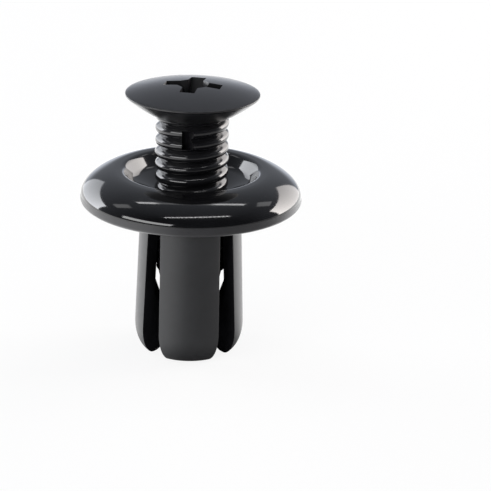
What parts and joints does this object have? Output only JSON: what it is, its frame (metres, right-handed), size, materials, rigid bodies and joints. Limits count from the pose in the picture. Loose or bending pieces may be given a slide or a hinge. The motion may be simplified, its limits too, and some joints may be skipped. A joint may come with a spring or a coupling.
{
  "type": "screw trim clip",
  "caption": "Split plastic trim clip: a domed flange on a slotted four-legged barrel, with a cross-recess plastic screw that pushes in and spreads the legs.",
  "frame": {"origin": "centre of the barrel in the plane of the flange's seat, where the panel's face lies", "axes": "+Z along the screw, from the legs up to the head; -Y faces the front leg and the locking notch of the thread"},
  "size_m": [0.0178, 0.0178, 0.0223],
  "materials": {
    "grommet_plastic": "glossy flange, satin legs",
    "screw_plastic": "satin"
  },
  "bodies": {
    "grommet": {"grommet": "grommet_plastic"},
    "screw": {"screw": "screw_plastic"}
  },
  "joints": [
    {"name": "screw_slide", "type": "slide", "parent": "grommet", "child": "screw", "axis": [0, 0, 1], "range_m": [-0.0063, 0], "deforming": ["grommet"]}
  ]
}
